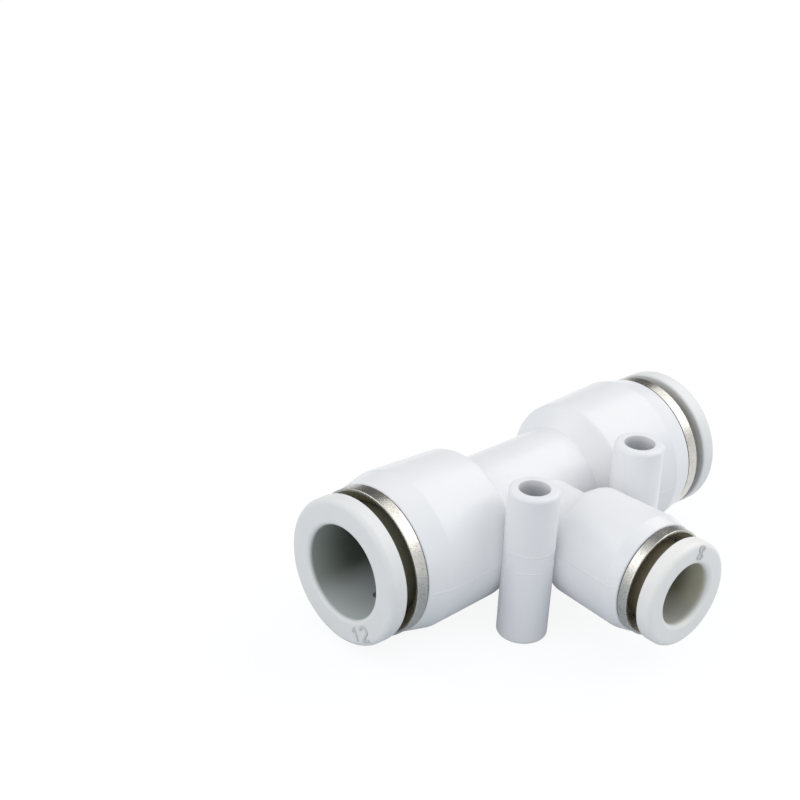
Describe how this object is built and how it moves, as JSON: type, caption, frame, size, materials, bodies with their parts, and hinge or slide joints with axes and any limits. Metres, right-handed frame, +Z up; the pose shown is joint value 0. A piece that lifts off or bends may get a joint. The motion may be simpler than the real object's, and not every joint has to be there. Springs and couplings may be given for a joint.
{
  "type": "push-fit reducing tee",
  "caption": "White push-fit reducing tee for plastic tube, with sprung release sleeves, metal guide rings and two mounting tubes moulded beside the branch.",
  "frame": {"origin": "midway between the two mounting holes, on the plane that the tee rests on", "axes": "+X along the run, -Y the way the branch points, +Z up along the mounting holes"},
  "size_m": [0.0604, 0.0402, 0.021],
  "materials": {
    "white_moulding": "satin-gloss white moulding, faintly cool",
    "sleeve_plastic": "light grey acetal with a soft sheen",
    "nickel_plating": "nickel-plated brass, fine turned grain",
    "spring_steel": "bright stamped stainless strip",
    "seat_plastic": "plain acetal",
    "seal_rubber": "black nitrile rubber"
  },
  "bodies": {
    "fitting": {"body": "white_moulding", "run_left_guide_ring": "nickel_plating", "run_left_lock_claw": "spring_steel", "run_left_claw_seat": "seat_plastic", "run_left_seal": "seal_rubber", "run_right_guide_ring": "nickel_plating", "run_right_lock_claw": "spring_steel", "run_right_claw_seat": "seat_plastic", "run_right_seal": "seal_rubber", "branch_guide_ring": "nickel_plating", "branch_lock_claw": "spring_steel", "branch_claw_seat": "seat_plastic", "branch_seal": "seal_rubber"},
    "run_left_sleeve": {"run_left_release_sleeve": "sleeve_plastic"},
    "run_right_sleeve": {"run_right_release_sleeve": "sleeve_plastic"},
    "branch_sleeve": {"branch_release_sleeve": "sleeve_plastic"}
  },
  "joints": [
    {"name": "run_left_sleeve_press", "type": "slide", "parent": "fitting", "child": "run_left_sleeve", "axis": [1, 0, 0], "range_m": [0, 0.0015], "stiffness_N_per_m": 1500, "deforming": ["run_left_lock_claw"]},
    {"name": "run_right_sleeve_press", "type": "slide", "parent": "fitting", "child": "run_right_sleeve", "axis": [-1, 0, 0], "range_m": [0, 0.0015], "stiffness_N_per_m": 1500, "deforming": ["run_right_lock_claw"]},
    {"name": "branch_sleeve_press", "type": "slide", "parent": "fitting", "child": "branch_sleeve", "axis": [0, 1, 0], "range_m": [0, 0.00135], "stiffness_N_per_m": 1500, "deforming": ["branch_lock_claw"]}
  ]
}
